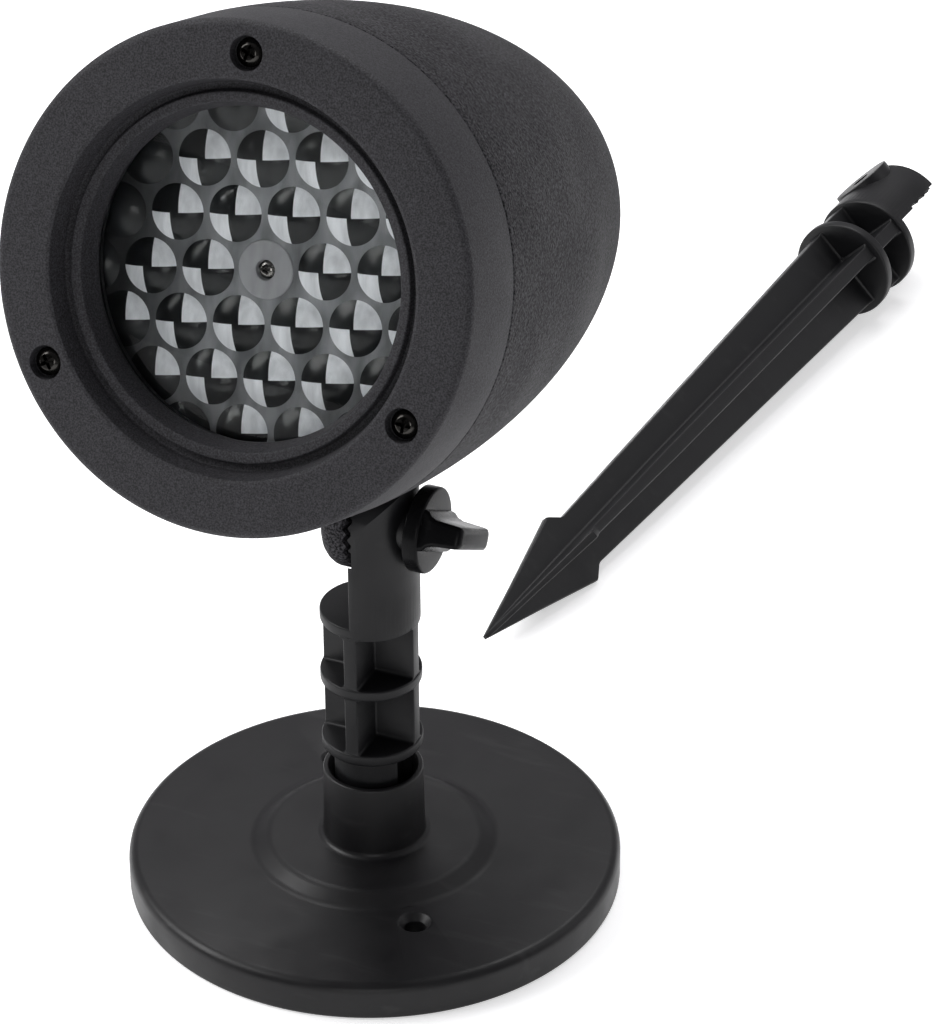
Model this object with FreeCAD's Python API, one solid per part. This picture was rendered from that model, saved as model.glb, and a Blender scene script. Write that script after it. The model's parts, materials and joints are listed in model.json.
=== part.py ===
import FreeCAD, Part
import math
import os

# Light projector on a stand, with its spare ground stake lying beside it.
# Row frame, millimetres: Z up, origin at the centre of the base's underside,
# -Y is the way the light shines and +X is the side of the clamp knob.
# The head is drawn in its own frame first (x right, y depth behind the bezel
# face, z up, origin on the optical axis) and is then tilted about the bolt.

# --- stand -----------------------------------------------------------------
BASE_R = 58.0
BASE_T = 9.2
BASE_EDGE = 2.4
BASE_SKIN = 2.8
PLATEAU_R = 28.8
PLATEAU_TOP_R = 24.8
PLATEAU_Z = 11.7
SOCKET_R = 12.0
SOCKET_TOP_R = 11.7
SOCKET_TOP_Z = 30.5
SOCKET_BORE_R = 9.4
SOCKET_FLOOR_Z = 9.0
HOLE_PCD = 69.8
HOLE_R = 2.4
HOLE_AZIMUTH = 40.0
COUNTERSINK_R = 4.0

STEM_R = 11.8
EAR_R = 11.6
RIB_T = 3.2
PLUG_R = 9.0
DISC_T = 2.7
LOWER_DISC_Z = 37.3
UPPER_DISC_Z = 55.2
CAP_Z = 71.6
CAP_T = 2.7
BOLT_Z = 98.0
BOLT_R = 2.5

# --- head ------------------------------------------------------------------
TILT = 18.1
AXIS_RISE = 67.0
FRONT_TO_BOLT = 89.0
BEZEL_R = 53.4
PARTING_R = 54.2
PARTING_Y = 20.9
FACE_EDGE = 1.8
RECESS_R = 41.4
WINDOW_R = 34.9
WINDOW_Y = 9.4
SCREW_CIRCLE = 46.8
SCREW_ANGLES = (92, 212, 332)
COUNTERBORE_R = 3.6
HOUSING_HALF_LENGTH = 145.0
HOUSING_CENTRE_Y = 22.0
HOUSING_END_Y = 158.0
WALL = 2.6
LUG_R = 12.2
LUG_X = 8.0

# --- optics and electrics ----------------------------------------------------
GLASS_R = 38.3
GLASS_Y = 10.3
GLASS_T = 2.5
WHEEL_R = 41.2
WHEEL_Y = 18.4
WHEEL_T = 2.0
WHEEL_TURN = 8.6
LENS_PITCH = 13.15
LENS_R = 6.1
LENS_RISE = 1.9
SHAFT_R = 1.5
SLIDE_Y = 24.6
SLIDE_T = 1.4
CHASSIS_Y = 30.0
CHASSIS_T = 2.5
POST_ANGLES = (30, 150, 270)
LAMP_CIRCLE = 24.0
LAMP_ANGLES = (45, 135, 225, 315)
CONDENSER_R = 9.8
BOARD_Y = 50.0
SINK_Y = 51.6

# --- ground stake ------------------------------------------------------------
STAKE_R = 14.5
STAKE_BARB = 45.4
STAKE_RING_1 = 209.2
STAKE_RING_2 = 224.8
STAKE_BOLT = 243.0
STAKE_END = 250.0
STAKE_TIP = (-12.3, 94.0)
STAKE_HEADING = 6.1
STAKE_PITCH = 2.3

X = FreeCAD.Vector(1, 0, 0)
Y = FreeCAD.Vector(0, 1, 0)
Z = FreeCAD.Vector(0, 0, 1)
V = FreeCAD.Vector


# ----- small helpers ---------------------------------------------------------
def save(name, *shapes):
    shape = shapes[0] if len(shapes) == 1 else Part.makeCompound(list(shapes))
    shape.exportStep(os.path.join("parts", name + ".step"))


def cyl(radius, start, length, axis=Z):
    return Part.makeCylinder(radius, length, start, axis)


def tube(outer, inner, start, length, axis=Z):
    return cyl(outer, start, length, axis).cut(cyl(inner, start, length, axis))


def box(x0, x1, y0, y1, z0, z1):
    return Part.makeBox(x1 - x0, y1 - y0, z1 - z0, V(x0, y0, z0))


def spin(outline, axis):
    """Solid of revolution; outline holds (radius, height) corners, and an arc
    is written as ((mid), (end)) in place of a corner."""
    def at(p):
        return V(p[0], 0, p[1]) if axis is Z else V(p[0], p[1], 0)
    edges = []
    here = at(outline[0])
    for step in list(outline[1:]) + [outline[0]]:
        if isinstance(step[0], tuple):
            end = at(step[1])
            edges.append(Part.Arc(here, at(step[0]), end).toShape())
        else:
            end = at(step)
            edges.append(Part.makeLine(here, end))
        here = end
    return Part.Face(Part.Wire(edges)).revolve(V(0, 0, 0), axis, 360)


def prism(points, direction):
    return Part.Face(Part.makePolygon(points + [points[0]])).extrude(direction)


def hexagon(across_flats, start, length, axis):
    corner = across_flats / math.sqrt(3)
    points = []
    for i in range(6):
        a = math.radians(60 * i)
        if axis is X:
            points.append(start + V(0, corner * math.cos(a), corner * math.sin(a)))
        else:
            points.append(start + V(corner * math.cos(a), 0, corner * math.sin(a)))
    return prism(points, axis * length)


def on_circle(radius, angle, y):
    """Point of the head frame on a circle about the optical axis."""
    a = math.radians(angle)
    return V(radius * math.cos(a), y, radius * math.sin(a))


def join(shapes):
    return shapes[0].multiFuse(shapes[1:]).removeSplitter()


def pan_screw(at, head_r, head_h, shank_r, shank_l, recess):
    """Cross-recess screw of the head frame; its head's underside is at `at`."""
    head = cyl(head_r, at - Y * head_h, head_h, Y)
    top = at.y - head_h
    rim = [e for e in head.Edges if abs(e.BoundBox.YMax - top) < 1e-6 and len(e.Vertexes) == 1]
    head = head.makeFillet(head_h * 0.45, rim)
    for angle in (0, 90):
        slot = box(-recess, recess, 0, head_h * 0.55, -recess * 0.28, recess * 0.28)
        slot.rotate(V(0, 0, 0), Y, angle + 20)
        slot.translate(at - Y * head_h)
        head = head.cut(slot)
    return head.fuse(cyl(shank_r, at, shank_l, Y))


def place_head(shape):
    moved = shape.copy()
    moved.translate(V(0, -FRONT_TO_BOLT, AXIS_RISE))
    moved.rotate(V(0, 0, 0), X, -TILT)
    moved.translate(V(0, 0, BOLT_Z))
    return moved


def save_head(name, *shapes):
    save(name, *[place_head(s) for s in shapes])


def teeth(r_in, r_out, root, tip, count, turn):
    """Radial clamp teeth about the X axis, from x = root to a sharp x = tip."""
    half = math.pi / count
    ridges = []
    for i in range(count):
        a = 2 * half * i + turn
        wires = []
        for r in (r_in, r_out):
            corners = []
            for b, x in ((a - half * 0.96, root), (a, tip), (a + half * 0.96, root)):
                corners.append(V(x, r * math.cos(b), r * math.sin(b)))
            wires.append(Part.makePolygon(corners + [corners[0]]))
        ridges.append(Part.makeLoft(wires, True, True))
    return ridges


# ----- base ------------------------------------------------------------------
def make_base():
    e = BASE_EDGE
    k = e * (1 - math.sqrt(0.5))
    body = spin([(0, 0), (BASE_R - 1.2, 0), ((BASE_R - 0.35, 0.35), (BASE_R, 1.2)),
                 (BASE_R, BASE_T - e), ((BASE_R - k, BASE_T - k), (BASE_R - e, BASE_T)),
                 (PLATEAU_R, BASE_T), (PLATEAU_TOP_R, PLATEAU_Z), (13.8, PLATEAU_Z),
                 ((12.6, 12.2), (SOCKET_R, 13.5)), (SOCKET_TOP_R, SOCKET_TOP_Z - 0.5),
                 (SOCKET_TOP_R - 0.5, SOCKET_TOP_Z), (SOCKET_BORE_R + 1.2, SOCKET_TOP_Z),
                 (SOCKET_BORE_R, SOCKET_TOP_Z - 1.8), (SOCKET_BORE_R, SOCKET_FLOOR_Z),
                 (0, SOCKET_FLOOR_Z)], Z)
    hollow = tube(BASE_R - 3.6, 14.5, V(0, 0, 0), BASE_T - BASE_SKIN)
    for i in range(6):
        rib = box(14, BASE_R - 3, -0.9, 0.9, 0, BASE_T)
        rib.rotate(V(0, 0, 0), Z, 60 * i + 20)
        hollow = hollow.cut(rib)
    for turn in (0, 180):
        a = math.radians(HOLE_AZIMUTH - 90 + turn)
        spot = V(HOLE_PCD / 2 * math.cos(a), HOLE_PCD / 2 * math.sin(a), 0)
        hollow = hollow.cut(cyl(5.5, spot, BASE_T))
        body = body.cut(cyl(HOLE_R, spot, BASE_T))
        sink = Part.makeCone(HOLE_R, COUNTERSINK_R, COUNTERSINK_R - HOLE_R,
                             spot + Z * (BASE_T - COUNTERSINK_R + HOLE_R), Z)
        body = body.cut(sink)
    body = body.cut(hollow)
    body = body.cut(cyl(8.6, V(0, 0, 0), 6.0))
    return body.cut(cyl(2.2, V(0, 0, 0), SOCKET_FLOOR_Z))


# ----- stem with its clamp ear -----------------------------------------------
def clamp_ear(radius, bottom, bolt, top, boss_r, boss_x):
    """Half-round ear on the +X side of the plane x = 0. It is cut straight at
    `top`, or rounded about the bolt if `top` lies a whole radius above it."""
    ear = cyl(radius, V(0, 0, bottom), top - bottom)
    straight = top < bolt + radius
    side = box(0, radius, -radius, radius, bottom, top if straight else bolt)
    side = side.fuse(cyl(radius, V(0, 0, bolt), radius, X))
    ear = ear.common(side)
    boss_start = math.sqrt(radius ** 2 - boss_r ** 2) - 0.4
    ear = ear.fuse(cyl(boss_r, V(boss_start, 0, bolt), boss_x - boss_start, X))
    pad = cyl(5.0, V(-1, 0, bolt), 3, X)
    ear = ear.cut(box(-1, 1.0, -radius - 1, radius + 1, bolt - radius, bolt + radius + 1).cut(pad))
    upright = cyl(radius, V(0, 0, bolt - radius), top - bolt + radius)
    limit = cyl(radius, V(0, 0, bolt), 3, X).common(upright)
    for ridge in teeth(5.0, radius + 1, 1.2, 0.15, 24, 0):
        ridge.translate(V(0, 0, bolt))
        ear = ear.fuse(ridge.common(limit))
    return ear.cut(cyl(BOLT_R + 0.2, V(-1, 0, bolt), radius * 2, X))


def cross(reach, thick, z0, z1):
    return box(-reach, reach, -thick / 2, thick / 2, z0, z1).fuse(
        box(-thick / 2, thick / 2, -reach, reach, z0, z1))


def make_stem():
    body = cyl(PLUG_R, V(0, 0, SOCKET_FLOOR_Z + 0.1), LOWER_DISC_Z - SOCKET_FLOOR_Z)
    for side in (0, 180):
        slot = box(PLUG_R - 3.2, PLUG_R + 1, -4, 4, 14, LOWER_DISC_Z - 0.6)
        slot.rotate(V(0, 0, 0), Z, side)
        body = body.cut(slot)
    ribs = cross(STEM_R - 0.3, RIB_T, LOWER_DISC_Z, CAP_Z + 1)
    body = body.fuse(ribs.common(cyl(STEM_R - 0.3, V(0, 0, 0), BOLT_Z)))
    for z in (LOWER_DISC_Z, UPPER_DISC_Z):
        body = body.fuse(cyl(STEM_R, V(0, 0, z), DISC_T))
    body = body.fuse(cyl(EAR_R, V(0, 0, CAP_Z), CAP_T))
    body = body.fuse(clamp_ear(EAR_R, CAP_Z, BOLT_Z, BOLT_Z + EAR_R, 6.2, EAR_R + 0.6))
    return body.cut(cyl(1.9, V(0, 0, SOCKET_FLOOR_Z), 16))


# ----- ground stake ------------------------------------------------------------
def stake_blade():
    """One of the two crossed blades, seen flat: half widths along its length."""
    half = [(0.0, 0.6), (STAKE_BARB, 10.6), (49.6, 7.8), (STAKE_RING_1, 12.4),
            (STAKE_RING_2, 13.6), (STAKE_RING_2 + 2, 13.6)]
    right = [V(w, 0, z) for z, w in half]
    left = [V(-w, 0, z) for z, w in reversed(half)]
    blade = prism(right + left, Y * 8)
    blade.translate(V(0, -4, 0))
    taper = prism([V(0, -0.8, 0), V(0, 0.8, 0), V(0, 2.0, 90), V(0, 2.0, 230),
                   V(0, -2.0, 230), V(0, -2.0, 90)], X * 40)
    taper.translate(V(-20, 0, 0))
    return blade.common(taper)


def make_stake():
    blade = stake_blade()
    other = blade.copy()
    other.rotate(V(0, 0, 0), Z, 90)
    body = blade.fuse(other)
    for z in (STAKE_RING_1, STAKE_RING_2):
        body = body.fuse(cyl(STAKE_R, V(0, 0, z), 3.0))
    body = body.fuse(clamp_ear(STAKE_R, STAKE_RING_2 + 2.0, STAKE_BOLT, STAKE_END, 9.0, STAKE_R + 0.4))
    body.rotate(V(0, 0, 0), Z, -135)
    body.rotate(V(0, 0, 0), X, -90 + STAKE_PITCH)
    body.rotate(V(0, 0, 0), Z, -STAKE_HEADING)
    body.translate(V(STAKE_TIP[0], STAKE_TIP[1], -body.BoundBox.ZMin + 0.02))
    return body


# ----- head shell --------------------------------------------------------------
def bullet(skin, end):
    """Half an egg from the parting plane to a flat at `end`, all smaller by `skin`."""
    length = HOUSING_HALF_LENGTH - skin
    radius = PARTING_R - skin
    far = end - skin
    far_angle = math.acos((far - HOUSING_CENTRE_Y) / length)
    far_radius = radius * math.sin(far_angle)
    ellipse = Part.Ellipse(V(0, HOUSING_CENTRE_Y + length, 0), V(radius, HOUSING_CENTRE_Y, 0),
                           V(0, HOUSING_CENTRE_Y, 0))
    side = ellipse.toShape(far_angle, math.pi / 2)
    corners = [V(far_radius, far, 0), V(0, far, 0), V(0, PARTING_Y, 0), V(radius, PARTING_Y, 0),
               V(radius, HOUSING_CENTRE_Y, 0)]
    lines = [Part.makeLine(p, q) for p, q in zip(corners, corners[1:])]
    wire = Part.Wire(Part.__sortEdges__([side] + lines))
    return Part.Face(wire).revolve(V(0, 0, 0), Y, 360)


def wall_post(angle, circle, radius, y0, y1):
    """A screw post with a web that ties it to the housing wall."""
    post = cyl(radius, on_circle(circle, angle, y0), y1 - y0, Y)
    web = box(circle, PARTING_R + 4, y0, y1, -1.2, 1.2)
    web.rotate(V(0, 0, 0), Y, -angle)
    return post.fuse(web)


def lug_outline(radius, neck, top):
    z = -AXIS_RISE
    y = FRONT_TO_BOLT
    block = prism([V(0, y - radius, z), V(0, y + radius, z), V(0, y + neck, top),
                   V(0, y - neck, top)], X * -LUG_X)
    return block.fuse(cyl(radius, V(-LUG_X, y, z), LUG_X, X))


def make_housing():
    outside = bullet(0.0, HOUSING_END_Y)
    inside = bullet(WALL, HOUSING_END_Y)
    shell = outside.cut(inside)
    shell = shell.fuse(lug_outline(LUG_R, 20.0, -44.0).cut(inside))
    posts = [wall_post(a, SCREW_CIRCLE, 4.6, PARTING_Y, 42) for a in SCREW_ANGLES]
    posts += [wall_post(a, 47.0, 4.2, CHASSIS_Y + CHASSIS_T, 46) for a in POST_ANGLES]
    posts += [wall_post(a, 43.5, 3.6, SINK_Y + 3.0, 70) for a in POST_ANGLES]
    for x in (-15, 15):
        for y in (88, 120):
            posts.append(cyl(3.0, V(x, y, -48), 27.0, Z))
    shell = shell.fuse(join(posts).common(outside))
    for a in SCREW_ANGLES:
        shell = shell.cut(cyl(1.25, on_circle(SCREW_CIRCLE, a, PARTING_Y), 12, Y))
    for a in POST_ANGLES:
        shell = shell.cut(cyl(1.25, on_circle(47.0, a, CHASSIS_Y + CHASSIS_T), 9, Y))
        shell = shell.cut(cyl(1.25, on_circle(43.5, a, SINK_Y + 3.0), 9, Y))
    for x in (-15, 15):
        for y in (88, 120):
            shell = shell.cut(cyl(1.0, V(x, y, -28), 7.0, Z))
    shell = shell.cut(cyl(6.0, V(0, HOUSING_END_Y - 8, 0), 12, Y))
    shell = shell.cut(tube(52.0, 49.9, V(0, PARTING_Y, 0), 0.9, Y))
    bolt = V(0, FRONT_TO_BOLT, -AXIS_RISE)
    shell = shell.cut(hexagon(8.1, bolt - X * 9.0, 4.6, X))
    shell = shell.cut(cyl(BOLT_R, bolt - X * 9, 10, X))
    face = box(-1.0, 1, bolt.y - 20, bolt.y + 20, bolt.z - 20, bolt.z + LUG_R)
    face = face.common(cyl(LUG_R + 0.4, bolt - X, 2, X)).cut(cyl(5.0, bolt - X * 2, 4, X))
    shell = shell.cut(face)
    limit = cyl(LUG_R, bolt - X * 3, 3, X)
    for ridge in teeth(5.0, LUG_R + 1, -1.2, -0.15, 24, math.pi / 24 + math.radians(TILT)):
        ridge.translate(bolt)
        shell = shell.fuse(ridge.common(limit))
    return shell.cut(box(-0.05, 1, bolt.y - 5.2, bolt.y + 5.2, bolt.z - 5.2, bolt.z + 5.2))


def make_bezel():
    e = FACE_EDGE
    k = e * (1 - math.sqrt(0.5))
    ring = spin([(BEZEL_R - e, 0), ((BEZEL_R - k, k), (BEZEL_R, e)),
                 (PARTING_R, PARTING_Y - 0.5), (PARTING_R - 0.5, PARTING_Y),
                 (50.4, PARTING_Y), (50.0, 5.0), (42.6, 4.4), (42.2, 13.6),
                 (GLASS_R + 0.2, 13.6), (GLASS_R + 0.2, GLASS_Y), (WINDOW_R, GLASS_Y),
                 (WINDOW_R, WINDOW_Y), (35.5, 7.2), (36.2, 4.5), (38.4, 4.1), (38.8, 5.6),
                 (40.3, 5.6), (RECESS_R - 0.2, 0.8),
                 ((RECESS_R + 0.03, 0.23), (RECESS_R + 0.6, 0.0))], Y)
    for a in SCREW_ANGLES:
        ring = ring.fuse(wall_post(a, SCREW_CIRCLE, 4.6, 3.0, PARTING_Y)
                         .common(cyl(51.0, V(0, 3.0, 0), PARTING_Y, Y)))
        ring = ring.cut(cyl(COUNTERBORE_R, on_circle(SCREW_CIRCLE, a, 0), 2.6, Y))
        ring = ring.cut(cyl(1.5, on_circle(SCREW_CIRCLE, a, 0), PARTING_Y, Y))
    for a in (30, 150, 270):
        ring = ring.cut(cyl(0.75, on_circle(40.3, a, 8.6), 6, Y))
    return ring


# ----- optics ------------------------------------------------------------------
def lens_centres():
    """Hexagonal pattern about the hub, three rings of lenses, turned by WHEEL_TURN."""
    c = math.cos(math.radians(WHEEL_TURN))
    s = math.sin(math.radians(WHEEL_TURN))
    points = []
    for row in range(-3, 4):
        for col in range(-4, 5):
            x = (col + 0.5 * (row % 2)) * LENS_PITCH
            z = row * LENS_PITCH * math.sqrt(0.75)
            if 1.0 < math.hypot(x, z) < 3.05 * LENS_PITCH:
                points.append((x * c - z * s, x * s + z * c))
    return points


def dome(base_r, rise, at):
    """Spherical cap that bulges to -Y from a round base centred at `at`."""
    radius = (base_r ** 2 + rise ** 2) / (2 * rise)
    ball = Part.makeSphere(radius, at + Y * (radius - rise))
    return ball.common(cyl(base_r, at - Y * rise, rise, Y))


def make_lens_wheel():
    wheel = cyl(WHEEL_R, V(0, WHEEL_Y, 0), WHEEL_T, Y)
    rim = cyl(WHEEL_R, V(0, WHEEL_Y - LENS_RISE, 0), LENS_RISE, Y)
    caps = [dome(LENS_R, LENS_RISE, V(x, WHEEL_Y, z)).common(rim) for x, z in lens_centres()]
    wheel = wheel.multiFuse(caps)
    wheel = wheel.fuse(cyl(4.9, V(0, WHEEL_Y - 0.5, 0), 3, Y))
    wheel = wheel.fuse(cyl(3.8, V(0, WHEEL_Y + WHEEL_T, 0), 3.4, Y))
    wheel = wheel.cut(cyl(2.1, V(0, WHEEL_Y - 1.0, 0), 1.9, Y))
    wheel = wheel.cut(cyl(0.9, V(0, WHEEL_Y - 1.0, 0), 3.0, Y))
    return wheel.cut(cyl(SHAFT_R, V(0, WHEEL_Y + 1.6, 0), 8, Y))


def quadrant(radius, y, thick, turn):
    wedge = cyl(radius, V(0, y, 0), thick, Y).common(box(0, radius, y, y + thick, 0, radius))
    wedge = wedge.cut(cyl(6.6, V(0, y, 0), thick, Y))
    wedge.rotate(V(0, 0, 0), Y, -turn)
    return wedge


def make_slide_frame():
    frame = cyl(41.2, V(0, SLIDE_Y, 0), SLIDE_T, Y)
    for turn in (0, 180):
        frame = frame.cut(quadrant(38.0, SLIDE_Y, SLIDE_T, turn))
    for a in (0, 90, 180, 270):
        frame = frame.fuse(cyl(1.5, on_circle(39.6, a, SLIDE_Y), CHASSIS_Y - SLIDE_Y, Y))
    return frame.cut(cyl(5.2, V(0, SLIDE_Y, 0), SLIDE_T, Y))


def make_chassis():
    plate = cyl(50.8, V(0, CHASSIS_Y, 0), CHASSIS_T, Y)
    for a in SCREW_ANGLES:
        notch = cyl(5.4, on_circle(SCREW_CIRCLE, a, CHASSIS_Y), CHASSIS_T, Y)
        gap = box(SCREW_CIRCLE, 52, CHASSIS_Y, CHASSIS_Y + CHASSIS_T, -5.4, 5.4)
        gap.rotate(V(0, 0, 0), Y, -a)
        plate = plate.cut(notch.fuse(gap))
    for a in LAMP_ANGLES:
        plate = plate.cut(cyl(CONDENSER_R, on_circle(LAMP_CIRCLE, a, CHASSIS_Y), CHASSIS_T, Y))
    for a in POST_ANGLES:
        plate = plate.cut(cyl(1.5, on_circle(47.0, a, CHASSIS_Y), CHASSIS_T, Y))
    for a in (0, 180):
        plate = plate.cut(cyl(1.3, on_circle(15.5, a, CHASSIS_Y), CHASSIS_T, Y))
    return plate.cut(cyl(3.2, V(0, CHASSIS_Y, 0), CHASSIS_T, Y))


def make_gearbox():
    y = CHASSIS_Y + CHASSIS_T
    can = cyl(12.0, V(0, y, 0), 7.0, Y)
    for a in (0, 180):
        ear = box(0, 15.5, y, y + 2, -3, 3)
        ear.rotate(V(0, 0, 0), Y, -a)
        can = can.fuse(ear).fuse(cyl(3.0, on_circle(15.5, a, y), 4, Y))
        can = can.cut(cyl(1.0, on_circle(15.5, a, y), 4, Y))
    return can.cut(cyl(1.62, V(0, y, 0), 5.0, Y))


# ----- clamp knob ----------------------------------------------------------------
def make_knob():
    knob = cyl(5.6, V(12.3, 0, BOLT_Z), 1.3, X)
    knob = knob.fuse(cyl(10.0, V(13.5, 0, BOLT_Z), 2.9, X))
    wing = box(16.0, 26.4, -9.6, 9.6, BOLT_Z - 2.7, BOLT_Z + 2.7)
    wing = wing.makeFillet(1.6, [e for e in wing.Edges if e.BoundBox.XMax > 26.3])
    hub = cyl(4.6, V(16.0, 0, BOLT_Z), 2.6, X)
    round_off = cyl(10.0, V(13, 0, BOLT_Z), 20, X)
    wing = wing.fuse(hub).common(round_off)
    wing.rotate(V(0, 0, BOLT_Z), X, -30)
    knob = knob.fuse(wing)
    knob = knob.cut(hexagon(7.0, V(12.3, 0, BOLT_Z), 5.0, X))
    return knob.cut(cyl(2.8, V(12.3, 0, BOLT_Z), 6.0, X))


def clamp_bolt():
    bolt = hexagon(8.0, V(-8.0, 0, BOLT_Z), 3.6, X)
    bolt = bolt.fuse(cyl(BOLT_R, V(-4.4, 0, BOLT_Z), 21.8, X))
    bolt.rotate(V(0, 0, BOLT_Z), X, -TILT)
    return bolt


# ----- write every node --------------------------------------------------------
os.makedirs("parts", exist_ok=True)

save("base_plate", make_base())
save("stem_post", make_stem())
washer_z = 4.85
save("stem_washer", tube(6.0, 1.9, V(0, 0, washer_z), 1.1))
screw = cyl(3.8, V(0, 0, washer_z - 2.4), 2.4)
screw = screw.cut(box(-3, 3, -0.5, 0.5, 2, washer_z - 1.4))
save("stem_screw", screw.fuse(cyl(1.9, V(0, 0, washer_z), 18)))
save("ground_stake", make_stake())

save_head("rear_housing", make_housing())
save_head("front_bezel", make_bezel())
save_head("bezel_screws", *[pan_screw(on_circle(SCREW_CIRCLE, a, 2.6), 3.0, 1.9, 1.25, 26, 1.7)
                            for a in SCREW_ANGLES])
save_head("bezel_seal", tube(51.9, 50.6, V(0, PARTING_Y, 0), 0.9, Y))
save_head("window_glass", cyl(GLASS_R, V(0, GLASS_Y, 0), GLASS_T, Y))
gasket_y = GLASS_Y + GLASS_T
save_head("window_gasket", tube(GLASS_R, 36.2, V(0, gasket_y, 0), 13.6 - gasket_y, Y))
retainer = tube(41.8, 35.8, V(0, 13.6, 0), 1.2, Y)
for a in POST_ANGLES:
    retainer = retainer.cut(cyl(0.75, on_circle(40.3, a, 13), 3, Y))
save_head("window_retainer", retainer)
save_head("retainer_screws", *[cyl(1.4, on_circle(40.3, a, 14.8), 0.9, Y)
                               .fuse(cyl(0.75, on_circle(40.3, a, 9.4), 5.4, Y))
                               for a in POST_ANGLES])

save_head("lens_wheel", make_lens_wheel())
save_head("wheel_screw", pan_screw(V(0, WHEEL_Y + 0.9, 0), 1.9, 1.1, 0.9, 3.1, 1.1))
shaft = cyl(SHAFT_R, V(0, WHEEL_Y + 1.6, 0), 16.6, Y)
save_head("motor_shaft", shaft.cut(cyl(0.9, V(0, WHEEL_Y, 0), 4.0, Y)))

save_head("slide_frame", make_slide_frame())
save_head("slide_film", *[quadrant(38.0, SLIDE_Y + 0.4, 0.6, t) for t in (0, 180)])
save_head("chassis_plate", make_chassis())
save_head("chassis_screws", *[pan_screw(on_circle(47.0, a, CHASSIS_Y), 2.6, 1.6, 1.25, 9, 1.4)
                              for a in POST_ANGLES])
save_head("condenser_lenses", *[cyl(CONDENSER_R, on_circle(LAMP_CIRCLE, a, 28.8), 4.4, Y)
                                .fuse(dome(CONDENSER_R, 1.8, on_circle(LAMP_CIRCLE, a, 28.8)))
                                for a in LAMP_ANGLES])
save_head("motor_gearbox", make_gearbox())
can_y = CHASSIS_Y + CHASSIS_T + 7.0
save_head("motor_can", cyl(9.5, V(0, can_y, 0), 8.5, Y).fuse(cyl(3.0, V(0, can_y, 0), 9.6, Y)))
save_head("motor_screws", *[pan_screw(on_circle(15.5, a, CHASSIS_Y), 2.0, 1.3, 1.0, 6, 1.1)
                            for a in (0, 180)])

save_head("led_board", cyl(36.0, V(0, BOARD_Y, 0), SINK_Y - BOARD_Y, Y))
save_head("led_packages", *[box(p.x - 2.6, p.x + 2.6, BOARD_Y - 1, BOARD_Y, p.z - 2.6, p.z + 2.6)
                            for p in [on_circle(LAMP_CIRCLE, a, 0) for a in LAMP_ANGLES]])
save_head("led_domes", *[dome(2.2, 1.6, on_circle(LAMP_CIRCLE, a, BOARD_Y - 1)) for a in LAMP_ANGLES])
sink = cyl(47.2, V(0, SINK_Y, 0), 3.0, Y)
for a in POST_ANGLES:
    sink = sink.cut(cyl(1.5, on_circle(43.5, a, SINK_Y), 3, Y))
for i in range(-4, 5):
    reach = math.sqrt(36.0 ** 2 - (8 * i) ** 2)
    sink = sink.fuse(box(8 * i - 0.8, 8 * i + 0.8, SINK_Y + 3, SINK_Y + 19, -reach, reach))
save_head("heat_sink", sink)
save_head("sink_screws", *[pan_screw(on_circle(43.5, a, SINK_Y), 2.6, 1.6, 1.25, 12, 1.4)
                           for a in POST_ANGLES])

deck = -19.4
board = box(-20, 20, 80, 128, deck - 1.6, deck)
board_spots = [(x, y) for x in (-15, 15) for y in (88, 120)]
for x, y in board_spots:
    board = board.cut(cyl(1.2, V(x, y, deck - 2), 3))
save_head("driver_board", board)
save_head("board_screws", *[cyl(2.0, V(x, y, deck), 1.3).fuse(cyl(1.0, V(x, y, deck - 7), 7))
                            for x, y in board_spots])
save_head("driver_capacitor", cyl(6.0, V(9.5, 104, deck), 18.0))
core = box(-17, -3, 97, 113, deck + 2, deck + 13)
save_head("driver_transformer", core.fuse(box(-15, -5, 99, 111, deck, deck + 16)))
save_head("driver_chips", box(-4, 4, 82.5, 86.5, deck, deck + 1.6),
          box(1, 9, 116, 122, deck, deck + 1.8), box(-9, -1, 117, 123, deck, deck + 2.4))

gland = hexagon(17.0, V(0, HOUSING_END_Y, 0), 5.0, Y)
gland = gland.fuse(cyl(6.0, V(0, HOUSING_END_Y - 8, 0), 8, Y))
gland = gland.fuse(cyl(6.6, V(0, HOUSING_END_Y + 5, 0), 5, Y))
gland = gland.cut(cyl(4.6, V(0, HOUSING_END_Y - 8, 0), 20, Y))
save_head("gland_body", gland)
lock_y = HOUSING_END_Y - WALL - 4.0
save_head("gland_lock_nut", hexagon(15.0, V(0, lock_y, 0), 4.0, Y).cut(cyl(6.0, V(0, lock_y, 0), 4, Y)))
cap_y = HOUSING_END_Y + 5.0
cap = spin([(6.6, cap_y), (8.4, cap_y), (8.4, cap_y + 5), ((7.6, cap_y + 8), (4.8, cap_y + 9.5)),
            (3.4, cap_y + 9.5), (3.4, cap_y + 6.5), (6.6, cap_y + 5.0)], Y)
save_head("gland_cap", cap)
save_head("gland_seal", tube(4.6, 3.2, V(0, HOUSING_END_Y - 4, 0), 12, Y))

save("clamp_bolt", clamp_bolt())
save("wing_knob", make_knob())
insert = hexagon(7.0, V(12.5, 0, BOLT_Z), 4.6, X)
save("knob_insert", insert.cut(cyl(BOLT_R + 0.06, V(12, 0, BOLT_Z), 6, X)))
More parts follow.
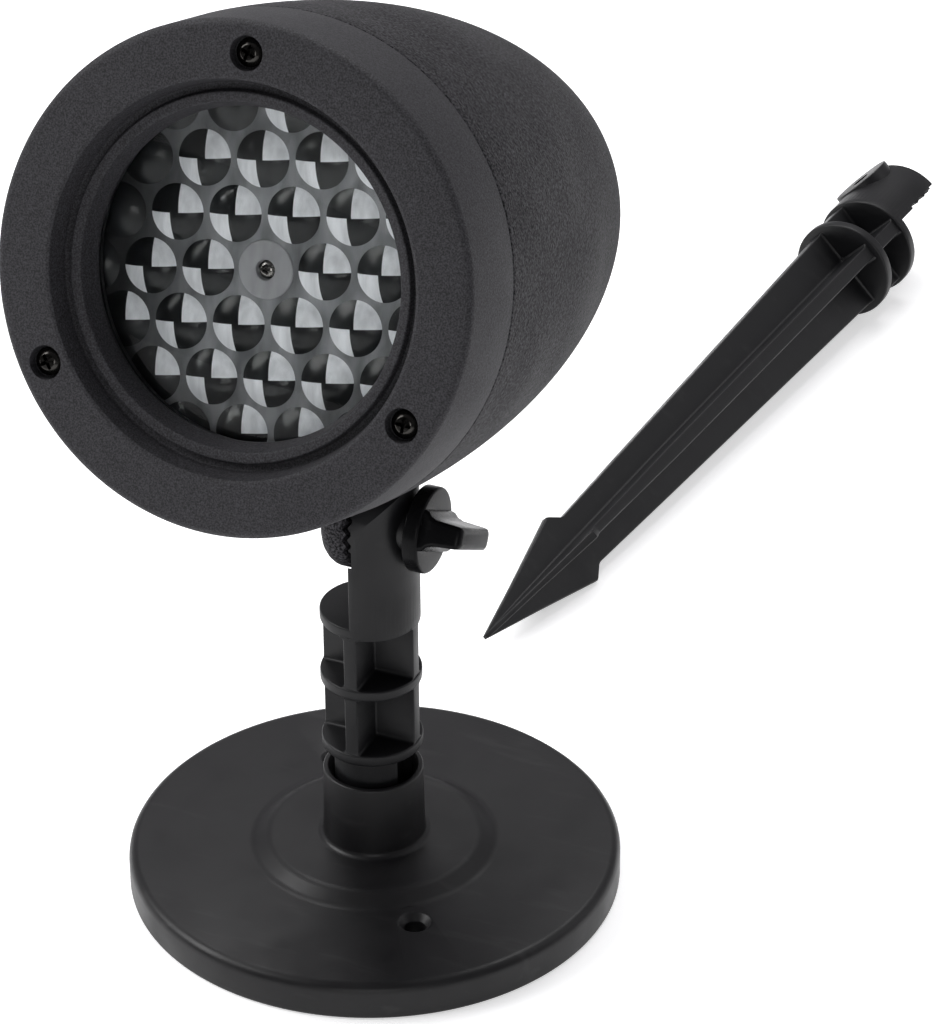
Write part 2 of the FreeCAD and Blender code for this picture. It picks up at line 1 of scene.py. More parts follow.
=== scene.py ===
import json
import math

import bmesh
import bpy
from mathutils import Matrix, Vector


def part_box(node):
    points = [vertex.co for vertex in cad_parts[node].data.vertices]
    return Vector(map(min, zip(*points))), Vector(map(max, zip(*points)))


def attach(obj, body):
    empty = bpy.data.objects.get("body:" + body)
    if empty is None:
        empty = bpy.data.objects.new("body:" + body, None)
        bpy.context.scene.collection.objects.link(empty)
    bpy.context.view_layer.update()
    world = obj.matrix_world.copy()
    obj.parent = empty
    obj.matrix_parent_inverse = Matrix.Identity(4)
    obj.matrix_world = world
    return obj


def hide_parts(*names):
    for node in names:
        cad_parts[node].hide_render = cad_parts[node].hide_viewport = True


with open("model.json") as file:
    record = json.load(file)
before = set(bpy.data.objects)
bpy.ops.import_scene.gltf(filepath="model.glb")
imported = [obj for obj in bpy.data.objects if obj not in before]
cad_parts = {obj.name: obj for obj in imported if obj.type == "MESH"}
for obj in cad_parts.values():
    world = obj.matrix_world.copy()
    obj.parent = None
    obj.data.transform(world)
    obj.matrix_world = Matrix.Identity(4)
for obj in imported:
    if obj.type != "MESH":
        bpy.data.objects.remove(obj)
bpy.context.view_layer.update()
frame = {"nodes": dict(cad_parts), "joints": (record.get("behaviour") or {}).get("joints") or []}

# %% [markdown]
# # A garden light projector and its ground stake
# The object is a black plastic spotlight head that throws moving patterns of
# light. It sits on a post that plugs into a round base, and a toothed clamp
# with a wing knob holds its tilt. A spare stake for soft ground lies beside it.
# The model of sizes and joints is already loaded as a fixed frame. This lesson
# makes the shapes and finishes that a viewer sees, and hangs each one on the
# body of the frame that it moves with.

# %% [markdown]
# ## Places
# Millimetres are the handiest unit for a small moulded object, so every shape
# is drawn in millimetres and shrunk to metres at the very end. The head has an
# axis of its own: it shines along a line that is tilted up from level. That
# line is read from the wheel's joint, so the head's pieces can be drawn
# straight, with their depth counted back from the front ring, and then placed.

# %% The row frame and the head's own frame
MM = 0.001
ROW = Matrix.Scale(MM, 4)

joints = {j["name"]: j for j in frame["joints"]}
bolt = Vector(joints["head_tilt"]["pos_m"]) / MM
shine = Vector(joints["wheel_spin"]["axis"]).normalized()
tilt = math.asin(shine.z)
WHEEL_DEPTH = 18.4
head_origin = Vector(joints["wheel_spin"]["pos_m"]) / MM + shine * WHEEL_DEPTH
HEAD = ROW @ Matrix.Translation(head_origin) @ Matrix.Rotation(-tilt, 4, "X")
ALONG_DEPTH = Matrix.Rotation(math.radians(-90), 4, "X")
ALONG_X = Matrix.Rotation(math.radians(90), 4, "Y")
print("clamp bolt at height", round(bolt.z, 1), "mm; head tilted up by",
      round(math.degrees(tilt), 1), "degrees")

# %% [markdown]
# ## Camera
# A product looks most like itself from the height of someone standing at a
# table. A long lens from about a metre away keeps the circles round and the
# stem upright. The camera is made first, because it decides how fine the
# detail has to be.

# %% Camera
CAMERA_AT = Vector((361.47, -761.16, 608.99))
HEADING = math.radians(23.87)
LOOK_DOWN = math.radians(31.20)
ROLL = math.radians(-0.39)
LENS_MM = 153.47

ahead = Vector((-math.sin(HEADING) * math.cos(LOOK_DOWN),
                math.cos(HEADING) * math.cos(LOOK_DOWN), -math.sin(LOOK_DOWN)))
level = Vector((math.cos(HEADING), math.sin(HEADING), 0))
right = level * math.cos(ROLL) + level.cross(ahead) * math.sin(ROLL)
turn = Matrix((right, right.cross(ahead), -ahead)).transposed()

camera = bpy.data.objects.new("camera", bpy.data.cameras.new("camera"))
camera.data.lens = LENS_MM
camera.data.clip_start = 0.01
camera.matrix_world = Matrix.Translation(CAMERA_AT * MM) @ turn.to_4x4()
bpy.context.scene.collection.objects.link(camera)
bpy.context.scene.camera = camera
print("camera is", round(CAMERA_AT.length), "mm from the foot of the stem")

# %% [markdown]
# ## Studio
# Black plastic shows almost nothing of its own colour: what it shows is the
# light that it mirrors. So the light comes from soft panels: a strong one on
# the left, a strong one above and behind, and two weak ones, on the right and
# in front. The room itself glows evenly ahead and fades out behind the viewer,
# because the flat window would mirror that side and veil the lenses. One hard
# lamp would be simpler, but it would leave the black shell without a shape.

# %% Room light and soft panels
scene = bpy.context.scene
scene.view_settings.view_transform = "Standard"
room = bpy.data.worlds.new("room")
room.use_nodes = True
room.node_tree.nodes["Background"].inputs["Color"].default_value = (0.97, 0.955, 1.0, 1)
sky = room.node_tree.nodes
direction = sky.new("ShaderNodeTexCoord").outputs["Generated"]
parts = sky.new("ShaderNodeSeparateXYZ")
fade = sky.new("ShaderNodeMapRange")
BEHIND, AHEAD = -0.80, 0.2
DIM_GLOW, FULL_GLOW = 0.05, 0.42
for socket, number in zip(("From Min", "From Max", "To Min", "To Max"),
                          (BEHIND, AHEAD, DIM_GLOW, FULL_GLOW)):
    fade.inputs[socket].default_value = number
room.node_tree.links.new(direction, parts.inputs[0])
room.node_tree.links.new(parts.outputs["Y"], fade.inputs["Value"])
room.node_tree.links.new(fade.outputs["Result"], sky["Background"].inputs["Strength"])
scene.world = room


def soft_panel(name, at, aim, width, height, watts):
    """A rectangular lamp that shines from `at` towards `aim`, both in metres."""
    lamp = bpy.data.lights.new(name, "AREA")
    lamp.shape = "RECTANGLE"
    lamp.size = width
    lamp.size_y = height
    lamp.energy = watts
    panel = bpy.data.objects.new(name, lamp)
    panel.location = at
    panel.rotation_euler = (Vector(aim) - Vector(at)).to_track_quat("-Z", "Y").to_euler()
    scene.collection.objects.link(panel)


soft_panel("panel_left", (-1.1, -0.4, 1.0), (0, 0, 0.12), 0.9, 0.9, 16)
soft_panel("panel_right", (1.0, 0.7, 0.9), (0, 0, 0.15), 0.6, 0.9, 1.5)
soft_panel("panel_front", (0.5, -1.3, 0.5), (0, 0, 0.18), 0.5, 0.5, 3)
soft_panel("panel_top", (-0.2, 0.6, 1.4), (0, 0.05, 0.1), 1.0, 1.0, 14)

# %% [markdown]
# ## Shapes from outlines
# Nearly every piece here was moulded, and moulded plastic has no knife edges:
# each corner is a small arc that catches a line of light. There are two ways to
# get them: a bevel modifier on the finished mesh, or arcs drawn into the
# outline before it is turned or stretched into a solid. The second way gives
# exact radii and even faces, so it is used throughout.

# %% Outline helpers


def rounded(corners, steps=4):
    """A closed outline. Each (x, y, radius) corner becomes an arc of that radius."""
    points = []
    for i, (x, y, radius) in enumerate(corners):
        here = Vector((x, y))
        back = Vector(corners[i - 1][:2]) - here
        on = Vector(corners[(i + 1) % len(corners)][:2]) - here
        if radius <= 0:
            points.append(here)
            continue
        half = back.angle(on) / 2
        reach = min(radius / math.tan(half), back.length * 0.49, on.length * 0.49)
        middle = here + (back.normalized() + on.normalized()).normalized() * reach / math.cos(half)
        first = here + back.normalized() * reach - middle
        last = here + on.normalized() * reach - middle
        sweep = math.atan2(first.x * last.y - first.y * last.x, first.dot(last))
        for k in range(steps + 1):
            a = sweep * k / steps
            points.append(middle + Vector((first.x * math.cos(a) - first.y * math.sin(a),
                                           first.x * math.sin(a) + first.y * math.cos(a))))
    return points


def skin(rings, caps=True):
    """A closed mesh through rings of 3-D points that all have the same count."""
    mesh = bmesh.new()
    loops = [[mesh.verts.new(p) for p in ring] for ring in rings]
    if not caps:
        loops.append(loops[0])
    count = len(rings[0])
    for lower, upper in zip(loops, loops[1:]):
        for i in range(count):
            j = (i + 1) % count
            mesh.faces.new((lower[i], lower[j], upper[j], upper[i]))
    if caps:
        mesh.faces.new(list(reversed(loops[0])))
        mesh.faces.new(loops[-1])
    bmesh.ops.remove_doubles(mesh, verts=mesh.verts, dist=1e-4)
    bmesh.ops.recalc_face_normals(mesh, faces=mesh.faces)
    return mesh


def lathe(outline, turns=128):
    """Turns a closed outline of (radius, height) points about the Z axis."""
    rings = []
    for i in range(turns):
        a = 2 * math.pi * i / turns
        rings.append([(r * math.cos(a), r * math.sin(a), h) for r, h in outline])
    return skin(rings, caps=False)


def stretch(outline, start, end):
    """Pulls a flat outline of (x, y) points straight up from start to end."""
    return skin([[(x, y, z) for x, y in outline] for z in (start, end)])


print("a square with round corners has", len(rounded([(0, 0, 1), (4, 0, 1), (4, 4, 1), (0, 4, 1)])),
      "points")

# %% [markdown]
# ## Joining and cutting solids
# Posts, slots and screw holes are added and cut with exact booleans while the
# shape is still in millimetres, because the boolean solver is steadier with
# numbers near one. The settled mesh is then given smooth shading, with its real
# edges kept sharp, and scaled into place.

# %% Solid helpers


def solid(mesh, place=Matrix.Identity(4)):
    """A working object, in millimetres, from a bmesh."""
    mesh.transform(place)
    data = bpy.data.meshes.new("work")
    mesh.to_mesh(data)
    mesh.free()
    work = bpy.data.objects.new("work", data)
    scene.collection.objects.link(work)
    return work


def combine(body, tools, how):
    """Adds ("UNION") or cuts ("DIFFERENCE") the tools, then discards them."""
    for tool in tools:
        step = body.modifiers.new(how, "BOOLEAN")
        step.operation = how
        step.object = tool
        step.solver = "EXACT"
    bpy.context.view_layer.update()
    graph = bpy.context.evaluated_depsgraph_get()
    settled = bpy.data.meshes.new_from_object(body.evaluated_get(graph))
    body.modifiers.clear()
    body.data = settled
    for tool in tools:
        bpy.data.objects.remove(tool)
    return body


def present(work, name, place, body, stands_for, finishes, edge=32):
    """Names a finished shape, puts it in place and hangs it on its body."""
    work.name = name
    work.data.name = name
    work.data.transform(place)
    work.data.shade_smooth()
    work.data.set_sharp_from_angle(angle=math.radians(edge))
    work.data.materials.clear()
    for finish in finishes:
        work.data.materials.append(finish)
    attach(work, body)
    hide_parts(stands_for)
    print(name, "has", len(work.data.polygons), "faces")
    return work


def rod(radius, start, length, place=Matrix.Identity(4), edge=0.0, turns=64):
    """A solid round bar along Z, with its rims rounded by `edge`."""
    corners = [(0, start, 0), (radius, start, edge), (radius, start + length, edge),
               (0, start + length, 0)]
    return solid(lathe(rounded(corners), turns), place)


# %% [markdown]
# ## Finishes
# A finish is a Principled shader plus a few noises that vary it, as real
# plastic varies: fine grain from the mould, broad cloudiness in the gloss, and
# rubbed spots. The grain is tied to the object's own space, so it moves with
# the piece. Numbers that are the same all over go straight on the shader.

# %% Finish helper


class Finish:
    """A material in the making: one shader, and the nodes that vary it."""

    def __init__(self, name, colour, roughness, metallic=0.0):
        self.material = bpy.data.materials.new(name)
        self.material.use_nodes = True
        self.tree = self.material.node_tree
        self.shader = self.tree.nodes["Principled BSDF"]
        self.set("Base Color", (*colour, 1))
        self.set("Roughness", roughness)
        self.set("Metallic", metallic)
        self.place = self.tree.nodes.new("ShaderNodeTexCoord").outputs["Object"]

    def set(self, socket, value):
        self.shader.inputs[socket].default_value = value

    def wire(self, out, socket):
        self.tree.links.new(out, self.shader.inputs[socket])

    def noise(self, grain, detail=2.0, stretch=(1, 1, 1)):
        """Cloudy values around one half; `grain` is the size of a blob in mm."""
        scaled = self.tree.nodes.new("ShaderNodeMapping")
        scaled.inputs["Scale"].default_value = [s / (grain * MM) for s in stretch]
        self.tree.links.new(self.place, scaled.inputs["Vector"])
        cloud = self.tree.nodes.new("ShaderNodeTexNoise")
        cloud.inputs["Scale"].default_value = 1.0
        cloud.inputs["Detail"].default_value = detail
        self.tree.links.new(scaled.outputs["Vector"], cloud.inputs["Vector"])
        return cloud.outputs["Fac"]

    def span(self, value, low, high, new_low, new_high):
        """Maps values between low and high onto new_low to new_high."""
        node = self.tree.nodes.new("ShaderNodeMapRange")
        for socket, number in zip(("From Min", "From Max", "To Min", "To Max"),
                                  (low, high, new_low, new_high)):
            node.inputs[socket].default_value = number
        self.tree.links.new(value, node.inputs["Value"])
        return node.outputs["Result"]

    def tint(self, value, dark, light):
        """A colour between dark and light, by a value from 0 to 1."""
        node = self.tree.nodes.new("ShaderNodeMix")
        node.data_type = "RGBA"
        node.inputs[6].default_value = (*dark, 1)
        node.inputs[7].default_value = (*light, 1)
        self.tree.links.new(value, node.inputs[0])
        return node.outputs[2]

    def blend(self, value, dark, surface):
        """Goes from a plain dark colour to another colour's socket."""
        out = self.tint(value, dark, dark)
        self.tree.links.new(surface, out.node.inputs[7])
        return out

    def bump(self, height, depth, under=None):
        """Fine relief, `depth` mm high, on top of an earlier bump."""
        node = self.tree.nodes.new("ShaderNodeBump")
        node.inputs["Strength"].default_value = 1.0
        node.inputs["Distance"].default_value = depth * MM
        self.tree.links.new(height, node.inputs["Height"])
        if under:
            self.tree.links.new(under, node.inputs["Normal"])
        return node.outputs["Normal"]


print("the finish helper is ready")

# %% [markdown]
# ### Grained shell plastic
# The head's shell is ABS from an eroded mould: matt charcoal with a fine
# leathery sparkle. Two noises make the relief, one about as big as a grain of
# salt and one a little over twice as coarse, and the tops of the grains are
# paler. Its mirror share is set low, as such a matt surface hardly shines even
# where it is seen at a slant. The front ring has a finer and flatter grain.

# %% Grained shell plastic


COARSER = 2.3


def grained_shell(name, dark, light, grain, depth, shine):
    """Matt, textured ABS; `grain` and `depth` in mm."""
    f = Finish(name, light, 0.65)
    fine = f.noise(grain, 3.0)
    coarse = f.noise(grain * COARSER, 2.0)
    cloud = f.noise(26, 2.0)
    f.wire(f.tint(f.span(fine, 0.38, 0.68, 0, 1), dark, light), "Base Color")
    f.wire(f.span(cloud, 0.3, 0.7, 0.6, 0.72), "Roughness")
    f.wire(f.bump(fine, depth, f.bump(coarse, depth * 1.6)), "Normal")
    f.set("Specular IOR Level", shine)
    return f.material


shell_finish = grained_shell("grained_shell", (0.003, 0.003, 0.0035), (0.060, 0.058, 0.064),
                             0.55, 0.20, 0.10)
ring_finish = grained_shell("grained_ring", (0.014, 0.0135, 0.015), (0.046, 0.045, 0.051),
                            0.36, 0.06, 0.24)
print("two grained finishes")

# %% [markdown]
# ### Satin black plastic
# The stand and the stake are smoother polypropylene: satin, slightly uneven in
# gloss where the melt cooled, with a few pale rubs and hairline scuffs. A long
# stretched noise cut to its peaks gives the scuffs.

# %% Satin black plastic


def satin_black(name, shade, gloss, scuffs, shine=0.32):
    """Smooth moulded plastic; `scuffs` is how strongly the rubs show."""
    f = Finish(name, shade, gloss)
    cloud = f.noise(14, 3.0)
    pits = f.noise(0.5, 2.0)
    rubs = f.span(f.noise(5, 5.0, (0.18, 1.0, 1.0)), 0.60, 0.80, 0, scuffs)
    f.wire(f.tint(rubs, shade, (0.05, 0.05, 0.05)), "Base Color")
    f.wire(f.span(cloud, 0.3, 0.7, gloss - 0.07, gloss + 0.09), "Roughness")
    f.wire(f.bump(pits, 0.012, f.bump(cloud, 0.10)), "Normal")
    f.set("Specular IOR Level", shine)
    return f.material


base_finish = satin_black("satin_base", (0.0045, 0.0042, 0.0050), 0.41, 0.30)
stem_finish = satin_black("satin_stem", (0.005, 0.005, 0.0058), 0.44, 0.10, 0.28)
stake_finish = satin_black("satin_stake", (0.005, 0.005, 0.0058), 0.44, 0.15)
knob_finish = satin_black("gloss_knob", (0.005, 0.005, 0.0055), 0.30, 0.10, 0.07)
print("four satin finishes")

# %% [markdown]
# ### Metals
# The ring's screws are blackened steel and the hub's screw is dull bare steel.
# The clamp bolt and the motor are zinc-plated, the knob's insert is brass and
# the heat sink is aluminium. Fine turning marks come from a noise stretched
# along one axis.

# %% Metals


def metal(name, colour, roughness, grain=0.4):
    """A metal with fine tool marks and uneven polish."""
    f = Finish(name, colour, roughness, 1.0)
    marks = f.noise(grain, 3.0, (0.2, 1.0, 1.0))
    stain = f.noise(3.0, 3.0)
    dim = tuple(0.7 * c for c in colour)
    f.wire(f.tint(f.span(stain, 0.35, 0.7, 0, 1), dim, colour), "Base Color")
    f.wire(f.span(marks, 0.3, 0.7, roughness * 0.8, roughness * 1.4), "Roughness")
    f.wire(f.bump(marks, 0.008), "Normal")
    return f.material


black_steel = metal("black_steel", (0.050, 0.048, 0.045), 0.18)
zinc_steel = metal("zinc_steel", (0.58, 0.58, 0.57), 0.30)
dull_steel = metal("dull_steel", (0.22, 0.21, 0.20), 0.24)
brass = metal("brass", (0.75, 0.52, 0.22), 0.30)
aluminium = metal("aluminium", (0.70, 0.71, 0.73), 0.38)
print("five metals")

# %% [markdown]
# ### Clear and frosted plastics
# The window is clear acrylic, which needs a transmitting shader. Its index is
# set to 1.25, lower than the 1.49 of acrylic, because a clean flat sheet under
# studio panels would otherwise lay a veil over the lenses.
#
# The lens wheel is one clear moulding with a printed film behind it, so through
# each lens two quarters look pale and two look dark. Stacked glass would show
# that by itself, but with a lot of noise. So the look of the print is put on
# the lenses, under a thin clear coat, and the pale print glows faintly. The
# price is that the pattern turns with the wheel, while a real film stays put.
# The web is also darker on its left, as it lies in the recess's shade at rest,
# and that shade too turns with the wheel.

# %% Window and lens finishes


def clear_window():
    """Acrylic sheet with the faintest dust and ripple."""
    f = Finish("clear_window", (0.96, 0.975, 0.97), 0.0)
    dust = f.noise(9, 4.0)
    f.wire(f.span(dust, 0.45, 0.75, 0.0, 0.035), "Roughness")
    f.wire(f.bump(f.noise(16, 1.0), 0.006), "Normal")
    f.set("Transmission Weight", 1.0)
    f.set("IOR", 1.25)
    return f.material


SHADE_TO = 0.3
SHADE_DEPTH = 0.22


def under_lens(name, dark, light, roughness, streak=2.2, glow=0.0, shade_from=0.0):
    """Printed film or moulded web, seen through a clear and shiny surface.
    Metres left of the axis, the shade is full from `shade_from` outwards."""
    f = Finish(name, light, roughness)
    streaks = f.noise(streak, 3.0, (1.0, 1.0, 0.2))
    amount = f.span(streaks, 0.3, 0.7, 0, 1)
    # Painted shade: the colour darkens left of the axis, where the recess's shadow falls on the web at
    # rest.
    if shade_from:
        parts = f.tree.nodes.new("ShaderNodeSeparateXYZ")
        f.tree.links.new(f.place, parts.inputs[0])
        inward = f.span(parts.outputs["X"], -shade_from, -shade_from * SHADE_TO, 0, 1)
        deep = tuple(SHADE_DEPTH * c for c in dark)
        f.wire(f.blend(inward, deep, f.tint(amount, dark, light)), "Base Color")
    else:
        f.wire(f.tint(amount, dark, light), "Base Color")
    f.wire(f.bump(f.noise(1.4, 2.0), 0.01), "Normal")
    f.set("Specular IOR Level", 0.25)
    # Emission, where glow is set, is painted light: the surface glows though it is no lamp.
    f.set("Emission Color", (0.92, 0.95, 1.0, 1))
    f.set("Emission Strength", glow)
    f.set("Coat Weight", 0.18)
    f.set("Coat Roughness", 0.06)
    f.set("Coat IOR", 1.49)
    return f.material


window_finish = clear_window()
# The pale quarters get a faint painted glow, which stands in for light on the print.
pale_quarter = under_lens("pale_quarter", (0.55, 0.56, 0.58), (0.84, 0.85, 0.88), 0.5, 2.2, 0.11)
dark_quarter = under_lens("dark_quarter", (0.002, 0.0025, 0.003), (0.012, 0.014, 0.016), 0.40, 5.0)
lens_web = under_lens("lens_web", (0.13, 0.133, 0.14), (0.36, 0.365, 0.38), 0.5, 5.0, 0.0, 0.032)
frosted_hub = under_lens("frosted_hub", (0.29, 0.29, 0.30), (0.40, 0.40, 0.415), 0.6, 3.0)
print("window, two print shades, web and hub")

# %% [markdown]
# ## Base
# The base is a shallow dish turned upside down: a satin plate with a round rim,
# a low raised centre and a socket for the stem. One outline turned on the
# lathe gives all of that, and its arcs give the bright lines at the foot of
# the socket and round the rim. Ribs stiffen it below, and two countersunk
# holes let it be screwed down.

# %% Base outline
BASE_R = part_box("base_plate")[1].x / MM
PLATE_TOP = 9.2
PLATEAU_TOP = 11.7
SOCKET_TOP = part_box("base_plate")[1].z / MM
base_outline = rounded([
    (2.2, 9.0, 0), (9.4, 9.0, 0), (9.4, SOCKET_TOP - 1.8, 0.3), (10.6, SOCKET_TOP, 0.3),
    (11.7, SOCKET_TOP, 0.5), (12.0, PLATEAU_TOP, 1.5), (24.8, PLATEAU_TOP, 4.0),
    (28.8, PLATE_TOP, 4.0), (BASE_R, PLATE_TOP, 2.4), (BASE_R, 0, 1.0), (54.4, 0, 0.4),
    (54.4, 6.4, 0.6), (14.5, 6.4, 0.6), (14.5, 0, 0.4), (8.6, 0, 0.4), (8.6, 6.0, 0),
    (2.2, 6.0, 0)], 5)
base = solid(lathe(base_outline, 192))
print("base is", round(2 * BASE_R), "mm across; its outline has", len(base_outline), "points")

# %% Ribs and screw holes of the base
HOLE_CIRCLE = 69.8
HOLE_AT = math.radians(40 - 90)
ribs = []
for i in range(6):
    bar = stretch([(14, -0.9), (55, -0.9), (55, 0.9), (14, 0.9)], 0.2, 7.0)
    ribs.append(solid(bar, Matrix.Rotation(math.radians(60 * i + 20), 4, "Z")))
holes = []
for turn_by in (0, math.pi):
    spot = Matrix.Translation(Vector((math.cos(HOLE_AT + turn_by), math.sin(HOLE_AT + turn_by), 0))
                              * HOLE_CIRCLE / 2)
    ribs.append(rod(5.5, 0.2, 7.0, spot))
    sink = rounded([(0, -1, 0), (2.4, -1, 0), (2.4, 7.6, 0.4), (3.8, PLATE_TOP, 0.9),
                    (6.0, PLATE_TOP + 0.05, 0), (6.0, 12, 0), (0, 12, 0)])
    holes.append(solid(lathe(sink, 64), spot))
combine(base, ribs, "UNION")
combine(base, holes, "DIFFERENCE")
present(base, "base", ROW, "base", "base_plate", [base_finish])

# %% [markdown]
# ## Clamp ear
# The stem and the stake end in nearly the same shape: a half-round post with a
# ring of radial teeth on its flat side and a boss round the bolt's hole. The
# stem's ear is rounded over at the top and the stake's ends straight. Each ear
# is a stack of D-shaped slices. The teeth are wedges, set by a loop, and the
# flat is sunk so that they stand in a shallow pocket. They stay a third of a
# millimetre short of the teeth on the head's lug, as while the knob is slack,
# so the head can tilt without teeth passing through each other.

# %% Ear helpers
TEETH = 24
PAD_R = 5.0


def d_slice(radius, half_width, z):
    """One D-shaped slice: flat at x = 0, round towards +X, cut at +-half_width."""
    w = min(half_width, radius * 0.995)
    reach = math.sqrt(radius ** 2 - w ** 2)
    corners = rounded([(0, -w, 0.3), (reach + 0.6, -w, 0), (reach + 0.6, w, 0), (0, w, 0.3)], 3)
    front = [p for p in corners if p.x < 0.55]
    low = [p for p in front if p.y < 0]
    high = [p for p in front if p.y > 0]
    top = math.asin(w / radius)
    arc = [(radius * math.cos(a), radius * math.sin(a))
           for a in [top * (k / 16 - 1) for k in range(33)]]
    return [(x, y, z) for x, y in [tuple(p) for p in low] + arc + [tuple(p) for p in high]]


def tooth_ring(r_in, r_out, root, tip):
    """Wedges about the X axis that stand from x = root to a sharp x = tip."""
    ridges = bmesh.new()
    half = math.pi / TEETH
    for i in range(TEETH):
        a = 2 * half * i
        ends = []
        for r in (r_in, r_out):
            corners = ((a - half * 0.97, root), (a - half * 0.12, tip), (a + half * 0.12, tip),
                       (a + half * 0.97, root), (a, 2 * root - tip))
            ends.append([ridges.verts.new((x, r * math.cos(b), r * math.sin(b)))
                         for b, x in corners])
        inner, outer = ends
        for k in range(5):
            ridges.faces.new((inner[k - 1], inner[k], outer[k], outer[k - 1]))
        ridges.faces.new(inner)
        ridges.faces.new(list(reversed(outer)))
    bmesh.ops.recalc_face_normals(ridges, faces=ridges.faces)
    return ridges


def clamp_ear(radius, bottom, bolt_z, top, boss_r, boss_x):
    """The toothed half-round ear. It ends straight at `top`, or round about the
    bolt if `top` lies a whole radius above the bolt."""
    straight = top < bolt_z + radius
    if straight:
        slices = [d_slice(radius, radius, z) for z in (bottom, bolt_z, top - 0.5)]
        slices.append(d_slice(radius - 0.15, radius - 0.15, top - 0.15))
        slices.append(d_slice(radius - 0.5, radius - 0.5, top))
    else:
        slices = [d_slice(radius, radius, z) for z in (bottom, (bottom + bolt_z) / 2, bolt_z)]
        for k in range(1, 19):
            a = math.radians(5 * k) if k < 18 else math.radians(89.3)
            slices.append(d_slice(radius, radius * math.cos(a), bolt_z + radius * math.sin(a)))
    about_bolt = Matrix.Translation((0, 0, bolt_z)) @ ALONG_X
    ear = solid(skin(slices))
    pocket = rounded([(PAD_R, -1, 0), (radius + 2, -1, 0), (radius + 2, 1.0, 0), (PAD_R, 1.0, 0)])
    cutters = [solid(lathe(pocket, 96), about_bolt)]
    combine(ear, cutters, "DIFFERENCE")
    ridges = solid(tooth_ring(PAD_R - 0.2, radius - 0.15, 1.2, 0.15),
                   Matrix.Translation((0, 0, bolt_z)))
    if straight:
        above = rounded([(-20, -20, 0), (20, -20, 0), (20, 20, 0), (-20, 20, 0)])
        combine(ridges, [solid(stretch(above, top - 0.02, top + 20))], "DIFFERENCE")
    boss_start = math.sqrt(radius ** 2 - boss_r ** 2) - 0.4
    boss = rod(boss_r, boss_start, boss_x - boss_start, about_bolt, 0.3)
    combine(ear, [boss, ridges], "UNION")
    return combine(ear, [rod(2.7, -1, radius * 2, about_bolt)], "DIFFERENCE")


print("one tooth every", 360 / TEETH, "degrees")

# %% [markdown]
# ## Ribbed post
# To save plastic and to cool fast, the stem is not a solid rod but a cross of
# two ribs with discs between. The ribs swell a little where they meet a disc,
# and that swell is what catches the light as a thin bright line. So each bay is
# a stack of cross-shaped slices whose arms thicken along a quarter circle.

# %% Cross-shaped slices


def cross_slice(reach, thick, z, tip=0.35, root=0.5):
    """One slice of two crossed ribs: `reach` from the middle, `thick` wide."""
    corners = []
    h = thick / 2
    for k in range(4):
        c, s = round(math.cos(k * math.pi / 2)), round(math.sin(k * math.pi / 2))
        for x, y, r in ((reach, -h, tip), (reach, h, tip), (h, h, root)):
            corners.append((x * c - y * s, x * s + y * c, r))
    return [(p.x, p.y, z) for p in rounded(corners, 3)]


def swell(distance, radius):
    """How much a rib thickens at each side, that far from a disc."""
    d = min(distance, radius)
    return radius - math.sqrt(radius ** 2 - (radius - d) ** 2)


def bay(reach, thick, low, high, fillet=0.9):
    """Slices of crossed ribs between two discs."""
    steps = [fillet * (1 - math.cos(math.radians(a))) for a in (0, 20, 40, 60, 90)]
    levels = [low - 0.4] + [low + d for d in steps]
    levels += [high - d for d in reversed(steps)] + [high + 0.4]
    slices = []
    for z in levels:
        near = max(0.0, min(z - low, high - z))
        slices.append(cross_slice(reach, thick + 2 * swell(near, fillet), z))
    return solid(skin(slices))


print("a rib 0.1 mm from a disc is", round(2 * swell(0.1, 0.9), 2), "mm thicker")

# %% Stem
STEM_R = 11.8
DISCS = (37.3, 55.2)
DISC_T = 2.7
CAP_Z = 71.6
EAR_R = 11.6
EAR_BOSS_R = 6.2
EAR_BOSS_X = 12.2
PLUG_R = 9.0
PLUG_FOOT = 9.1
PLUG_LENGTH = 28.6
stem_parts = [rod(STEM_R, z, DISC_T, edge=0.5, turns=128) for z in DISCS]
stem_parts.append(bay(STEM_R - 0.35, 3.2, DISCS[0] + DISC_T, DISCS[1]))
stem_parts.append(bay(STEM_R - 0.35, 3.2, DISCS[1] + DISC_T, CAP_Z))
stem_parts.append(rod(EAR_R, CAP_Z, DISC_T, edge=0.5, turns=128))
stem_parts.append(clamp_ear(EAR_R, CAP_Z + 0.02, bolt.z, bolt.z + EAR_R, EAR_BOSS_R, EAR_BOSS_X))
stem = rod(PLUG_R, PLUG_FOOT, PLUG_LENGTH, edge=0.4, turns=96)
slots = []
for side in (1, -1):
    near, far = 5.8 * side, 10 * side
    gap = rounded([(near, -4, 0.5), (far, -4, 0.5), (far, 4, 0.5), (near, 4, 0.5)])
    slots.append(solid(stretch(gap, 14, 36.6)))
combine(stem, slots, "DIFFERENCE")
combine(stem, stem_parts, "UNION")
present(stem, "stem", ROW, "stem", "stem_post", [stem_finish])
